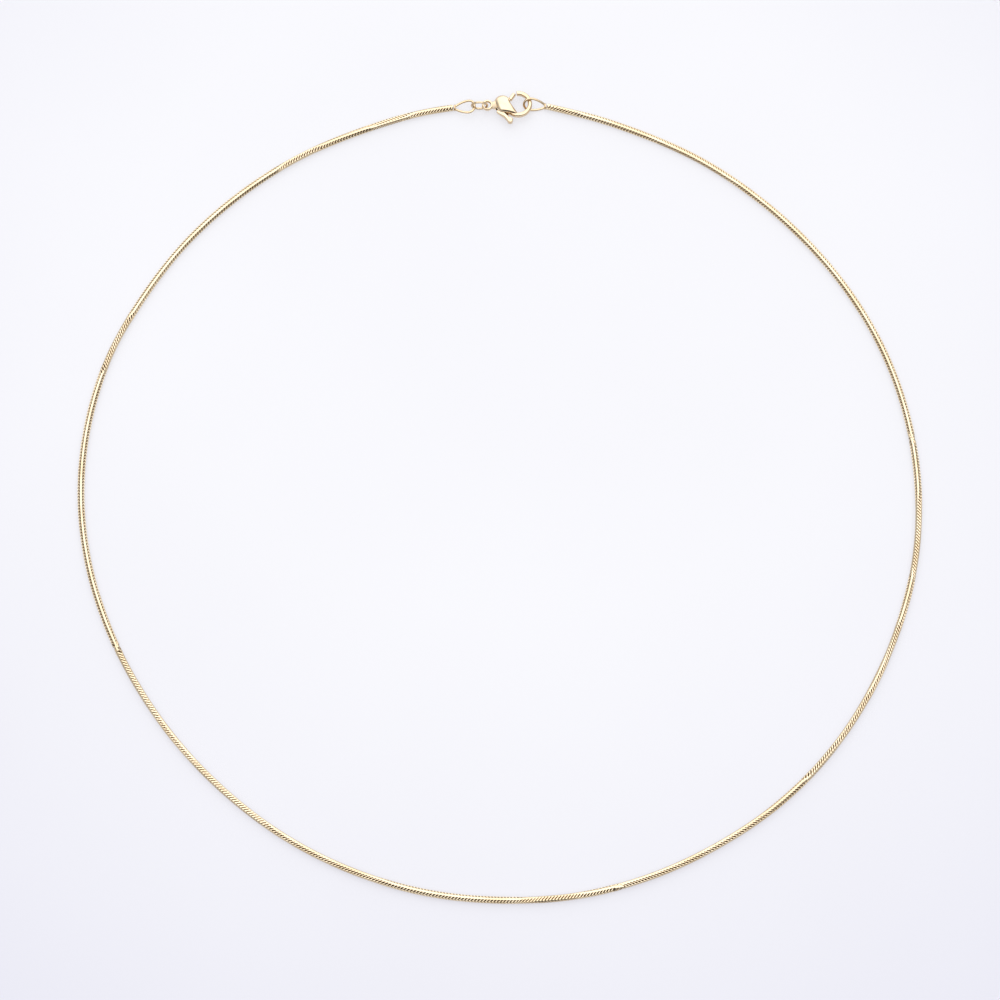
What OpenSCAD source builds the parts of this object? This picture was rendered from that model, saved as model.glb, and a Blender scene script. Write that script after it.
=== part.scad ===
// Snake chain necklace: a round chain of fine nested links, closed by a lobster clasp.
// It lies as an open ring on a flat surface. Millimetres, X right, Y towards the clasp, Z up.
// The origin is under the middle of the bounding box.

/* [Necklace] */
// closed length of the whole necklace along its middle line
necklace_length = 450; // [400:5:500]
// width of the chain between its flats
chain_w = 1.2; // [1:0.1:1.5]

/* [Clasp] */
// length of the clasp from its eye to the far side of its hook
clasp_len = 9; // [8:0.5:12]
// thickness of the clasp at the middle of its swelling
clasp_h = 2.4; // [2.2:0.1:3]
// angle through which the lever opens
lever_open = 22; // [12:1:24]

/* [Loops and jump ring] */
// wire of the two end loops
loop_wire = 0.42; // [0.3:0.02:0.46]
// wire of the jump ring
jump_wire = 0.4; // [0.3:0.02:0.44]
// roll of the right end loop, which passes over and under the hook
loop_roll = 50; // [46:1:56]

/* [Clearances] */
// gap between loops that pass through each other
link_gap = 0.04; // [0.03:0.01:0.06]
// running gap round the lever's pin
pin_gap = 0.03; // [0.02:0.01:0.06]
// gap on each side of the lever in its slot
slot_gap = 0.06; // [0.04:0.01:0.1]

/* [Show] */
// which piece is drawn

/* [Hidden] */
steel_gold = [0.93, 0.78, 0.47];
fine = 64;

// clasp shapes are given in ninths of the clasp's length
ninth = 1 / 9;
u = clasp_len * ninth;

// heights
clasp_z = clasp_h / 2;
chain_z = chain_w / 2;

// eye of the clasp, at the clasp's own origin
eye_r = 0.78 * u;
eye_wall = 0.45 * u;
eye_h = 0.8 * u;

// swelling of the clasp: two circles drawn out to a point, under a shallow dome
lobe_at = [2.7, 0.45] * u;
lobe_low = [2.8, -0.1] * u;
lobe_r = 1.25 * u;
lobe_tip = [5.6, -2.1] * u;
side_lap = 4;
side_share = 0.99;
dome_at = [3.4, -0.25] * u;
dome_r = 4 * u;
neck_x = [0.8, 1.8] * u;
neck_w = [1.5, 2.1] * u;
neck_h = 1.3 * u;

// hook: part of a ring that starts in the swelling and ends above the gate
hook_at = [5.48, 0.19] * u;
hook_r = 2.08 * u;
hook_wall = 0.8 * u;
hook_h = 1.1 * u;
hook_round = 0.25 * u;
hook_from = -150;
hook_to = 98.5;

// lever: hub on its pin, gate bar on one side, thumb tab on the other
pin_at = [2.75, -0.05] * u;
pin_r = 0.3 * u;
hub_r = 0.62 * u;
lever_h = 0.8 * u;
gate_from = [4.22, 1.32] * u;
gate_to = [4.8, 2.15] * u;
gate_w = 0.7 * u;
gate_lap = 0.3 * u;
web_w = 0.6 * u;
web_top = [2.62, 0.42] * u;
gate_root = [3.2, -0.2] * u;
tab_shape = [[2.3, -0.45], [1.78, -1.1], [1.7, -1.38], [2.5, -1.95], [3.1, -2.3], [3.55, -2.85],
             [3.85, -3.4], [4.12, -3.5], [4.36, -3.3], [4.45, -2.75], [2.75, -1.6], [3.2, -0.35]];
pad_from = 2.05 * u;
pad_h = 1.1 * u;
slot_play = 17;
gate_slot = [10 - lever_open, 40, 77];
tab_slot = [-48, -80, -120, -122 - lever_open - slot_play];
slot_reach = 3.4 * u;
hub_slot_r = 0.85 * u;
pin_floor = 0.3;
pin_roof = 0.4;
pin_fit = 0.01;

// jump ring: stands on the surface, round the wall of the eye and the end of the left loop
jump_od = 3.1 * u;
jump_r = (jump_od - jump_wire) / 2;
jump_z = jump_od / 2 + link_gap;
jump_y = -0.2 * u;
jump_ease = 0.035 * u;
eye_side = sqrt(pow(eye_r, 2) - pow(jump_y, 2));
eye_low = clasp_z - (eye_h - eye_wall) / 2;
jump_reach = jump_r - jump_wire / 2 - eye_wall / 2 - link_gap;
jump_x = jump_ease - eye_side - sqrt(pow(jump_reach, 2) - pow(jump_z - eye_low, 2));

// end loops: a round end drawn out to a point, where each is soldered to its cap
loop_r = 1.13 * u;
left_reach = 2.45 * u;
right_reach = 2.7 * u;
leg_bow = 5 * u;
leg_apart = 0.015;
leg_lap = 0.6;
leg_share = 0.97;
cap_r = 0.485 * chain_w;
cap_l = 0.34;
cap_gap = 0.1;
cap_front = 0.13;

left_rise = jump_z - 0.22 * u;
left_span = jump_r - jump_wire / 2 - loop_wire / 2 - link_gap;
left_end_x = jump_x - sqrt(pow(left_span, 2) - pow(jump_z - left_rise, 2));
left_pitch = asin((left_rise - chain_z) / (loop_r + left_reach));
left_tip_x = left_end_x - (loop_r + left_reach) * cos(left_pitch);

right_y = 0.22 * u;
hook_x = hook_at[0] + hook_r;
hook_ease = 0.14 * u;
hook_bow = pow(hook_h / 2 / tan(loop_roll), 2) / (2 * hook_r);
right_fit = loop_r - loop_wire / 2 - link_gap - hook_round / sin(loop_roll);
right_off = sqrt(pow(right_fit, 2) - pow((hook_h / 2 - hook_round) / sin(loop_roll), 2))
            - (hook_wall / 2 - hook_round) - hook_bow - hook_ease;
right_pitch = asin((clasp_z - chain_z) / (right_reach + right_off));
right_tip_x = hook_x + (right_reach + right_off) * cos(right_pitch);

// the ends of the chain, and how wide the clasp and its loops stand between them
end_step = cap_l - cap_front + cap_gap;
chain_left = left_tip_x - end_step;
chain_right = right_tip_x + end_step;
group_w = chain_right - chain_left;

// how the ring lies: its radius every ten degrees as a share of the mean, from the right round
lay = [1.0018, 0.9991, 0.9959, 0.9914, 0.9875, 0.9871, 0.9906, 0.9938, 1.004, 1.009, 1.0075, 1.0008,
       1.0013, 1.0016, 1.0036, 1.0051, 1.0118, 1.0121, 1.0093, 1.0026, 0.994, 0.9871, 0.9846, 0.9856,
       0.9903, 0.9947, 0.999, 1.0013, 1.0065, 1.0072, 1.0071, 1.009, 1.0083, 1.0051, 1.0032, 1.0039];
lay_step = 10;
lay_count = 360 / lay_step;
ring_r = necklace_length / (2 * PI);
// past this angle the right end bends out to its loop, by a share that grows as the angle squared
bend_angle = 78;
bend_share = 0.00017;
// where the clasp sits in the ring
clasp_side = -0.205;
end_share = 1.007;
end_r = ring_r * end_share;
eye_lift = 0.08;
aim_step = 0.5;
rings = 80;
sides = 8;

function wrap(i) = ((i % lay_count) + lay_count) % lay_count;
function curve(a, b, c, d, t) =
    b + 0.5 * t * (c - a + t * (2 * a - 5 * b + 4 * c - d + t * (3 * (b - c) + d - a)));
function share(i, t) = curve(lay[wrap(i - 1)], lay[wrap(i)], lay[wrap(i + 1)], lay[wrap(i + 2)], t);
function bend(a) = bend_share * pow(max(0, a - bend_angle), 2);
function radius(a) =
    ring_r * (share(floor(a / lay_step), a / lay_step - floor(a / lay_step)) + bend(a));
function spot(a) = radius(a) * [cos(a), sin(a)];
function unit(v) = v / norm(v);
function turn(v) = [v[1], -v[0]];

first_angle = 90 - asin((clasp_side + group_w / 2) / end_r);
last_angle = 90 - asin((clasp_side - group_w / 2) / end_r) - 360;
function angle_at(i) = first_angle + (last_angle - first_angle) * i / (rings - 1);
function aim(a) = unit(spot(a - aim_step) - spot(a + aim_step));
function corner(i, k) =
    let (a = angle_at(i), t = (k + 0.5) * 360 / sides, r = chain_z / cos(180 / sides))
    [each (spot(a) + turn(aim(a)) * r * cos(t)), chain_z + r * sin(t)];
chain_points = [for (i = [0 : rings - 1], k = [0 : sides - 1]) corner(i, k)];
chain_faces = concat(
    [[for (k = [0 : sides - 1]) k]],
    [for (i = [0 : rings - 2], k = [0 : sides - 1])
        [i * sides + (k + 1) % sides, i * sides + k, (i + 1) * sides + k,
         (i + 1) * sides + (k + 1) % sides]],
    [[for (k = [0 : sides - 1]) rings * sides - 1 - k]]);

// the clasp's place in the ring, and the turn of each loop towards its end of the chain
eye_x = clasp_side - (chain_left + chain_right) / 2;
eye_y = (spot(first_angle)[1] + spot(last_angle)[1]) / 2 + eye_lift;
left_tip = [left_tip_x, spot(last_angle)[1] - eye_y, chain_z];
left_turn = asin((jump_y - left_tip[1]) / (loop_r + left_reach));
right_tip = [right_tip_x, spot(first_angle)[1] - eye_y, chain_z];
right_turn = asin((right_tip[1] - right_y) / (right_reach + right_off));

// the middle of the bounding box, to which everything is shifted
function across(j) = [for (p = chain_points) p[j]];
mid_x = (max(across(0)) + min(across(0))) / 2;
mid_y = (eye_y + hook_at[1] + hook_r + hook_wall / 2 + min(across(1))) / 2;
clasp_place = [eye_x - mid_x, eye_y - mid_y, 0];

// a bar section with rounded corners, in the plane of the drawing
module round_rect(w, h, c) {
    square([w - 2 * c, h], center = true);
    square([w, h - 2 * c], center = true);
    for (x = [-1, 1], y = [-1, 1])
        translate([x * (w / 2 - c), y * (h / 2 - c)])
            circle(c, $fn = fine);
}

// a wire bent round about its origin, its two legs bowed in to lie side by side at its reach along X
module drop_wire(r, reach, wire) {
    end = [reach, wire / 2 + leg_apart];
    far = norm(end);
    span = leg_bow - r;
    between = acos((pow(span, 2) + pow(far, 2) - pow(leg_bow, 2)) / (2 * span * far));
    toward = atan2(end[1], end[0]) - between;
    middle = span * [cos(toward), sin(toward)];
    from = atan2(end[1] - middle[1], end[0] - middle[0]);
    to = toward + 180;
    rotate(to)
        rotate_extrude(angle = 360 - 2 * to, $fn = fine)
            translate([r, 0])
                circle(wire / 2, $fn = fine);
    for (flip = [0, 180])
        rotate([flip, 0, 0])
            translate([middle[0], middle[1], 0])
                rotate(from)
                    rotate_extrude(angle = to + leg_lap - from, $fn = fine)
                        translate([leg_bow, 0])
                            circle(leg_share * wire / 2, $fn = fine);
}

// the cap that the legs of a loop are soldered into, facing the end of the chain
module cap() {
    rotate([0, 90, 0])
        translate([0, 0, -cap_front])
            cylinder(r = cap_r, h = cap_l, $fn = fine);
}

module chain() {
    color(steel_gold)
        translate([-mid_x, -mid_y, 0])
            polyhedron(chain_points, chain_faces);
}

module end_loop_left() {
    color(steel_gold)
        translate(clasp_place + left_tip)
            union() {
                rotate([0, -left_pitch, left_turn])
                    translate([left_reach, 0, 0])
                        rotate(180)
                            drop_wire(loop_r, left_reach, loop_wire);
                rotate(180 + left_turn)
                    cap();
            }
}

module end_loop_right() {
    color(steel_gold)
        translate(clasp_place + right_tip)
            union() {
                rotate([0, right_pitch, right_turn])
                    rotate([loop_roll, 0, 0])
                        translate([-right_reach, 0, 0])
                            drop_wire(loop_r, right_reach, loop_wire);
                rotate([loop_roll, 0, right_turn])
                    cap();
            }
}

module jump_ring() {
    color(steel_gold)
        translate(clasp_place + [jump_x, jump_y, jump_z])
            rotate([90, 0, 0])
                rotate_extrude($fn = fine)
                    translate([jump_r, 0])
                        circle(jump_wire / 2, $fn = fine);
}

// the outline of the swelling, from above
module drop_outline() {
    away = lobe_tip - lobe_low;
    reach = norm(away);
    side = acos(lobe_r / reach) + side_lap;
    translate(lobe_at)
        circle(lobe_r, $fn = fine);
    translate(lobe_low)
        rotate(atan2(away[1], away[0])) {
            circle(lobe_r, $fn = fine);
            polygon([[0, 0], lobe_r * side_share * [cos(side), sin(side)], [reach, 0],
                     lobe_r * side_share * [cos(side), -sin(side)]]);
        }
}

// a wedge about the pin, from above
module wedge(angles) {
    translate(pin_at)
        polygon(concat([[0, 0]], [for (a = angles) slot_reach * [cos(a), sin(a)]]));
}

module swelling() {
    intersection() {
        translate([0, 0, -clasp_z])
            linear_extrude(clasp_h)
                drop_outline();
        translate([dome_at[0], dome_at[1], clasp_z - dome_r])
            sphere(dome_r, $fn = fine);
        translate([dome_at[0], dome_at[1], dome_r - clasp_z])
            sphere(dome_r, $fn = fine);
    }
}

module hook() {
    translate(hook_at)
        rotate(hook_from)
            rotate_extrude(angle = hook_to - hook_from, $fn = fine)
                translate([hook_r, 0])
                    round_rect(hook_wall, hook_h, hook_round);
}

module eye() {
    rotate_extrude($fn = fine)
        translate([eye_r, 0]) {
            square([eye_wall, eye_h - eye_wall], center = true);
            for (s = [-1, 1])
                translate([0, s * (eye_h - eye_wall) / 2])
                    circle(eye_wall / 2, $fn = fine);
        }
}

module neck() {
    translate([0, 0, -neck_h / 2])
        linear_extrude(neck_h)
            polygon([[neck_x[0], -neck_w[0] / 2], [neck_x[1], -neck_w[1] / 2],
                     [neck_x[1], neck_w[1] / 2], [neck_x[0], neck_w[0] / 2]]);
}

module clasp_body() {
    slot_h = lever_h + 2 * slot_gap;
    color(steel_gold)
        translate(clasp_place + [0, 0, clasp_z])
            difference() {
                union() {
                    swelling();
                    hook();
                    eye();
                    neck();
                }
                translate([0, 0, -slot_h / 2])
                    linear_extrude(slot_h) {
                        translate(pin_at)
                            circle(hub_slot_r, $fn = fine);
                        intersection() {
                            wedge(gate_slot);
                            translate(lobe_at)
                                circle(lobe_r + hook_wall / 2, $fn = fine);
                        }
                        wedge(tab_slot);
                    }
                translate([pin_at[0], pin_at[1], -clasp_h])
                    cylinder(r = pin_r + pin_fit, h = clasp_h + clasp_z - pin_roof + pin_fit, $fn = fine);
            }
}

module clasp_lever() {
    gate_len = norm(gate_to - gate_from);
    gate_lean = atan2(gate_to[1] - gate_from[1], gate_to[0] - gate_from[0]);
    web_end = gate_from + gate_lap * [cos(gate_lean), sin(gate_lean)];
    side = web_w / 2 * [-sin(gate_lean), cos(gate_lean)];
    color(steel_gold)
        translate(clasp_place + [0, 0, clasp_z])
            difference() {
                union() {
                    translate([0, 0, -lever_h / 2])
                        linear_extrude(lever_h) {
                            translate(pin_at)
                                circle(hub_r, $fn = fine);
                            polygon([web_top, web_end + side, web_end - side, gate_root]);
                            polygon(tab_shape * u);
                        }
                    translate([gate_from[0], gate_from[1], 0])
                        rotate([90, 0, gate_lean + 90])
                            linear_extrude(gate_len)
                                round_rect(gate_w, hook_h, hook_round);
                    difference() {
                        translate([0, 0, -pad_h / 2])
                            linear_extrude(pad_h)
                                polygon(tab_shape * u);
                        translate([pin_at[0], pin_at[1], -pad_h])
                            cylinder(r = pad_from, h = 2 * pad_h, $fn = fine);
                    }
                }
                translate([pin_at[0], pin_at[1], -lever_h])
                    cylinder(r = pin_r + pin_gap, h = 2 * lever_h, $fn = fine);
            }
}

module clasp_pin() {
    color(steel_gold)
        translate(clasp_place + [pin_at[0], pin_at[1], pin_floor])
            cylinder(r = pin_r, h = clasp_h - pin_floor - pin_roof, $fn = fine);
}

chain();
end_loop_left();
end_loop_right();
jump_ring();
clasp_body();
clasp_lever();
clasp_pin();
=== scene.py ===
"""A gold snake chain necklace with a lobster clasp, laid out as an open ring on a pale table.

Metres, X right, Y towards the clasp, Z up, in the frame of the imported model.
"""
import math

import bpy
import numpy as np
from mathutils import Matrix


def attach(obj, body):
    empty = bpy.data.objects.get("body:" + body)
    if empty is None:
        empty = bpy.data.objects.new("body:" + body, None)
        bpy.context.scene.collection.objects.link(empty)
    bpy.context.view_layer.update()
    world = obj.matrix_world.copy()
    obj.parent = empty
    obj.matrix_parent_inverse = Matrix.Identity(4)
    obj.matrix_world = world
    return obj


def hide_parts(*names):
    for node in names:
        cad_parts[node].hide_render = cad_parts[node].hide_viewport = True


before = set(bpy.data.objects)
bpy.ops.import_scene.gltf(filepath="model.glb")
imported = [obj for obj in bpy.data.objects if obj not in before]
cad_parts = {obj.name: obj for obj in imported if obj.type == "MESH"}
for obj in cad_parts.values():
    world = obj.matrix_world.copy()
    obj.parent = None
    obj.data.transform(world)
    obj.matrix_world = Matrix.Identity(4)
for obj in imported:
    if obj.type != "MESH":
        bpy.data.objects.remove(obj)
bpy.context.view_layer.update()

MM = 0.001
UP = np.array([0.0, 0.0, 1.0])


# ---------------------------------------------------------------- the camera and the studio

SENSOR_WIDTH = 36.0             # millimetres of film, as the lens's length is
LENS_LENGTH = 138.014
CAMERA_AT = (0.0619 * MM, -208.735 * MM, 626.54 * MM)
CAMERA_TILT = 18.2078           # degrees off straight down


def set_camera():
    """A long lens above the near side of the ring, looking down at 72 degrees."""
    lens = bpy.data.cameras.new("photo_camera")
    lens.sensor_fit = "HORIZONTAL"
    lens.sensor_width = SENSOR_WIDTH
    lens.lens = LENS_LENGTH
    lens.clip_start = 0.01
    lens.clip_end = 20.0
    camera = bpy.data.objects.new("photo_camera", lens)
    bpy.context.collection.objects.link(camera)
    camera.location = CAMERA_AT
    camera.rotation_euler = (math.radians(CAMERA_TILT), 0.0, 0.0)
    bpy.context.scene.camera = camera


def link(tree, start, end):
    """A link from one socket to another."""
    tree.links.new(start, end)


def node(tree, kind, x=0, y=0, **values):
    """A shader node with its plain settings, placed on the sheet."""
    made = tree.nodes.new(kind)
    made.location = (x, y)
    for name, value in values.items():
        setattr(made, name, value)
    return made


def sums(tree, operation, a, b, x=0, y=0, clamp=False):
    """One Math node. a and b are sockets or plain numbers."""
    made = node(tree, "ShaderNodeMath", x, y, operation=operation, use_clamp=clamp)
    for socket, value in zip(made.inputs, (a, b)):
        if isinstance(value, (int, float)):
            socket.default_value = value
        else:
            link(tree, value, socket)
    return made.outputs[0]


def smooth_range(tree, value, low, high, to_low, to_high, x=0, y=0):
    """value taken smoothly from low..high to to_low..to_high."""
    made = node(tree, "ShaderNodeMapRange", x, y, interpolation_type="SMOOTHSTEP")
    link(tree, value, made.inputs["Value"])
    for name, number in (("From Min", low), ("From Max", high), ("To Min", to_low), ("To Max", to_high)):
        made.inputs[name].default_value = number
    return made.outputs["Result"]


PANEL_LIGHT = 1.45
PANEL_SIDE = (0.45, 0.8)        # the sine of the angle to the side where the panel starts and stops to fade
PANEL_END = (-0.72, -0.6)       # and of that towards the near side, from the dark room to the panel
TENT_TOP = 0.8                  # the tent's light overhead and at the sides
TENT_SIDE = 0.55
ROOM_LIGHT = 0.09               # the share of both that the dark room keeps
TENT_TINT = (0.965, 0.98, 1.0, 1.0)
WALL_TINT = (0.9, 0.91, 0.95, 1.0)      # what the camera sees past the table
WALL_LIGHT = 0.95


def set_studio():
    """A white tent with a long bright panel over the table, from the far side to past overhead.

    The light along a direction (x, y, z) is the tent's, which grows with z, plus the panel's, where x is
    small. All of it is multiplied by a share, which is ROOM_LIGHT where y is below PANEL_END and 1 above.
    """
    world = bpy.data.worlds.new("studio_tent")
    world.use_nodes = True
    tree = world.node_tree
    tree.nodes.clear()
    place = node(tree, "ShaderNodeTexCoord", -1400, 0)
    parts = node(tree, "ShaderNodeSeparateXYZ", -1200, 0)
    link(tree, place.outputs["Generated"], parts.inputs[0])
    x, y, z = parts.outputs
    aside = sums(tree, "ABSOLUTE", x, 0.0, -1000, 300)
    panel = smooth_range(tree, aside, *PANEL_SIDE, PANEL_LIGHT, 0.0, -800, 300)
    tent = smooth_range(tree, z, 0.0, 1.0, TENT_SIDE, TENT_TOP, -800, 50)
    open_side = smooth_range(tree, y, *PANEL_END, ROOM_LIGHT, 1.0, -800, -200)
    light = sums(tree, "MULTIPLY", sums(tree, "ADD", tent, panel, -600, 150), open_side, -400, 50)
    seen = node(tree, "ShaderNodeLightPath", -150, 500)
    tint = node(tree, "ShaderNodeBackground", 50, 100)
    tint.inputs["Color"].default_value = TENT_TINT
    link(tree, light, tint.inputs["Strength"])
    wall = node(tree, "ShaderNodeBackground", 50, -100)
    wall.inputs["Color"].default_value = WALL_TINT
    wall.inputs["Strength"].default_value = WALL_LIGHT
    either = node(tree, "ShaderNodeMixShader", 250, 0)
    link(tree, seen.outputs["Is Camera Ray"], either.inputs[0])
    link(tree, tint.outputs[0], either.inputs[1])
    link(tree, wall.outputs[0], either.inputs[2])
    out = node(tree, "ShaderNodeOutputWorld", 450, 0)
    link(tree, either.outputs[0], out.inputs["Surface"])
    bpy.context.scene.world = world


LAMP_SIZE = (0.7, 0.5)
LAMP_POWER = 0.9                # watts
LAMP_TINT = (1.0, 0.985, 0.96)
LAMP_AT = (-0.05, 0.42, 0.5)
LAMP_LEAN = -40                 # degrees about X, then about Z
LAMP_HEADING = 6


def set_lamp():
    """A soft panel over the far side, which gives the light its direction."""
    lamp = bpy.data.lights.new("far_panel", "AREA")
    lamp.shape = "RECTANGLE"
    lamp.size, lamp.size_y = LAMP_SIZE
    lamp.energy = LAMP_POWER
    lamp.color = LAMP_TINT
    made = bpy.data.objects.new("far_panel", lamp)
    bpy.context.collection.objects.link(made)
    made.location = LAMP_AT
    made.rotation_euler = (math.radians(LAMP_LEAN), 0.0, math.radians(LAMP_HEADING))
    made.visible_glossy = False     # the gold sees the tent alone


def mesh_object(name, points, faces, smooth=True):
    """A mesh object at the origin from an array of points and a list or array of faces."""
    mesh = bpy.data.meshes.new(name)
    mesh.from_pydata(points, [], faces)
    mesh.polygons.foreach_set("use_smooth", np.full(len(mesh.polygons), smooth))
    mesh.update()
    made = bpy.data.objects.new(name, mesh)
    bpy.context.collection.objects.link(made)
    return made


TABLE_HALF = 3.0
CARD_LIGHT = 0.652              # painted light: the card's glow, which stands for the light that fills the tent
CARD_LIT_Y = 0.04               # how far behind the origin the painted pool of light is brightest
CARD_LIT_R = 0.063              # the distance from there at which the painted light starts to dim
CARD_DIM_R = 0.222
CARD_NEAR = (0.97, 0.958, 0.997, 1.0)   # the painted light's colour there, and where it is dimmest and bluest
CARD_FAR = (0.57, 0.555, 0.76, 1.0)
CARD_SPOTS = (0.178, 0.18, 0.187, 1)    # the two tones of its mottling
CARD_PLAIN = (0.185, 0.187, 0.193, 1)


def set_table():
    """A wide pale table: one square at height 0."""
    points = TABLE_HALF * np.array([[-1, -1, 0], [1, -1, 0], [1, 1, 0], [-1, 1, 0]])
    table = mesh_object("table", points, [(0, 1, 2, 3)], smooth=False)
    table.data.materials.append(table_paint())


def table_paint():
    """Matt white card with the faintest mottling, and a painted pool of light that dims away from its
    brightest place.

    At the distance r from there, its painted glow goes from CARD_NEAR to CARD_FAR by the share of r squared
    less CARD_LIT_R squared, over CARD_DIM_R squared: painted light, brightest behind the origin and dimmer
    and bluer towards the corners.
    """
    paint = bpy.data.materials.new("matt_white_card")
    paint.use_nodes = True
    tree = paint.node_tree
    bsdf = tree.nodes["Principled BSDF"]
    bsdf.inputs["Roughness"].default_value = 0.75
    bsdf.inputs["Specular IOR Level"].default_value = 0.2
    # painted light: the card glows with CARD_LIGHT, standing for the tent's fill light
    bsdf.inputs["Emission Strength"].default_value = CARD_LIGHT
    place = node(tree, "ShaderNodeTexCoord", -900, 0)
    # painted pool of light: the glow dims and turns bluer with the distance from its brightest place
    away = node(tree, "ShaderNodeVectorMath", -700, -300, operation="DISTANCE")
    link(tree, place.outputs["Object"], away.inputs[0])
    away.inputs[1].default_value = (0.0, CARD_LIT_Y, 0.0)
    square = sums(tree, "POWER", away.outputs["Value"], 2.0, -500, -300)
    past = sums(tree, "SUBTRACT", square, CARD_LIT_R ** 2, -350, -300)
    dim = sums(tree, "DIVIDE", past, CARD_DIM_R ** 2, -200, -300, clamp=True)
    shade = node(tree, "ShaderNodeMix", 0, -300, data_type="RGBA")
    shade.inputs["A"].default_value = CARD_NEAR
    shade.inputs["B"].default_value = CARD_FAR
    link(tree, dim, shade.inputs["Factor"])
    link(tree, shade.outputs["Result"], bsdf.inputs["Emission Color"])
    mottle = node(tree, "ShaderNodeTexNoise", -700, 0)
    mottle.inputs["Scale"].default_value = 14.0
    mottle.inputs["Detail"].default_value = 3.0
    link(tree, place.outputs["Object"], mottle.inputs["Vector"])
    ramp = node(tree, "ShaderNodeValToRGB", -450, 0)
    ramp.color_ramp.elements[0].position = 0.35
    ramp.color_ramp.elements[0].color = CARD_SPOTS
    ramp.color_ramp.elements[1].position = 0.65
    ramp.color_ramp.elements[1].color = CARD_PLAIN
    link(tree, mottle.outputs["Fac"], ramp.inputs["Fac"])
    link(tree, ramp.outputs["Color"], bsdf.inputs["Base Color"])
    return paint


YELLOW_GAIN = 20.0              # red less blue counts as metal from one part in this


def keep_fine_links():
    """The table's grain is smoothed. The necklace stays as rendered: a denoiser wipes out links this fine.

    The necklace is where the smoothed picture is yellow: red less blue, times YELLOW_GAIN, spread by a pixel.
    """
    scene = bpy.context.scene
    scene.cycles.use_denoising = False
    scene.cycles.filter_width = 1.5
    scene.use_nodes = True
    tree = scene.node_tree
    tree.nodes.clear()
    taken = node(tree, "CompositorNodeRLayers", -700, 0)
    smooth = node(tree, "CompositorNodeDenoise", -450, 200)
    link(tree, taken.outputs["Image"], smooth.inputs["Image"])
    parts = node(tree, "CompositorNodeSeparateColor", -250, 0)
    link(tree, smooth.outputs[0], parts.inputs[0])
    yellow = node(tree, "CompositorNodeMath", -80, 0, operation="SUBTRACT")
    link(tree, parts.outputs["Red"], yellow.inputs[0])
    link(tree, parts.outputs["Blue"], yellow.inputs[1])
    metal = node(tree, "CompositorNodeMath", 80, 0, operation="MULTIPLY", use_clamp=True)
    link(tree, yellow.outputs[0], metal.inputs[0])
    metal.inputs[1].default_value = YELLOW_GAIN
    wider = node(tree, "CompositorNodeDilateErode", 240, 0, mode="STEP", distance=1)
    link(tree, metal.outputs[0], wider.inputs[0])
    both = node(tree, "CompositorNodeMixRGB", 420, 150)
    link(tree, wider.outputs[0], both.inputs[0])
    link(tree, smooth.outputs[0], both.inputs[1])
    link(tree, taken.outputs["Image"], both.inputs[2])
    picture = node(tree, "CompositorNodeComposite", 620, 150)
    link(tree, both.outputs[0], picture.inputs[0])


# ---------------------------------------------------------------- gold

# each metal: its two tones, patches to the metre, roughness where rubbed bright and where dull, hairlines to
# the metre, and, for the chain, the colour of the painted shade down in its grooves
GOLDS = {
    "chain_gold": dict(bright=(0.72, 0.6, 0.42), deep=(0.64, 0.51, 0.33), patches=220.0, smoothest=0.1,
                       dullest=0.2, lines=26000.0, groove_shade=(0.3, 0.19, 0.1)),
    "clasp_gold": dict(bright=(0.73, 0.585, 0.405), deep=(0.66, 0.51, 0.33), patches=260.0, smoothest=0.12,
                       dullest=0.2, lines=9000.0),
    "wire_gold": dict(bright=(0.69, 0.54, 0.355), deep=(0.6, 0.455, 0.28), patches=300.0, smoothest=0.12,
                      dullest=0.2, lines=14000.0)}
LINE_DEPTH = 2e-6
LINE_STRENGTH = 0.25
GROOVE_DULL = 0.2               # how much rougher the grooves are


def new_group(name, inputs, outputs):
    """An empty shader node group. inputs are (name, kind, value), outputs (name, kind)."""
    tree = bpy.data.node_groups.new(name, "ShaderNodeTree")
    for socket, kind, value in inputs:
        made = tree.interface.new_socket(name=socket, in_out="INPUT", socket_type="NodeSocket" + kind)
        if value is not None:
            made.default_value = value
    for socket, kind in outputs:
        tree.interface.new_socket(name=socket, in_out="OUTPUT", socket_type="NodeSocket" + kind)
    return tree, node(tree, "NodeGroupInput", -1200, 0), node(tree, "NodeGroupOutput", 600, 0)


def handling_wear():
    """Patches that fingers have rubbed bright or left dull: a noise plus 0.35 of one six times finer.

    The roughness is Bright plus the share that is dull times the span from Bright to Dull.
    """
    tree, given, told = new_group(
        "handling_wear",
        [("Vector", "Vector", None), ("Patches", "Float", 250.0), ("Bright", "Float", 0.06),
         ("Dull", "Float", 0.2)],
        [("Roughness", "Float"), ("Rubbed", "Float")])
    broad = node(tree, "ShaderNodeTexNoise", -900, 200)
    broad.inputs["Detail"].default_value = 3.0
    fine = node(tree, "ShaderNodeTexNoise", -900, -100)
    fine.inputs["Detail"].default_value = 4.0
    for texture in (broad, fine):
        link(tree, given.outputs["Vector"], texture.inputs["Vector"])
    link(tree, given.outputs["Patches"], broad.inputs["Scale"])
    link(tree, sums(tree, "MULTIPLY", given.outputs["Patches"], 6.0, -1050, -200), fine.inputs["Scale"])
    both = sums(tree, "MULTIPLY_ADD", fine.outputs["Fac"], 0.35, -650, 100)
    link(tree, broad.outputs["Fac"], both.node.inputs[2])
    rubbed = smooth_range(tree, both, 0.5, 0.85, 0.0, 1.0, -400, 100)
    span = sums(tree, "SUBTRACT", given.outputs["Dull"], given.outputs["Bright"], -400, -150)
    rough = sums(tree, "MULTIPLY", rubbed, span, -150, 0)
    rough = sums(tree, "ADD", rough, given.outputs["Bright"], 50, 0)
    link(tree, rough, told.inputs["Roughness"])
    link(tree, rubbed, told.inputs["Rubbed"])
    return tree


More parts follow.
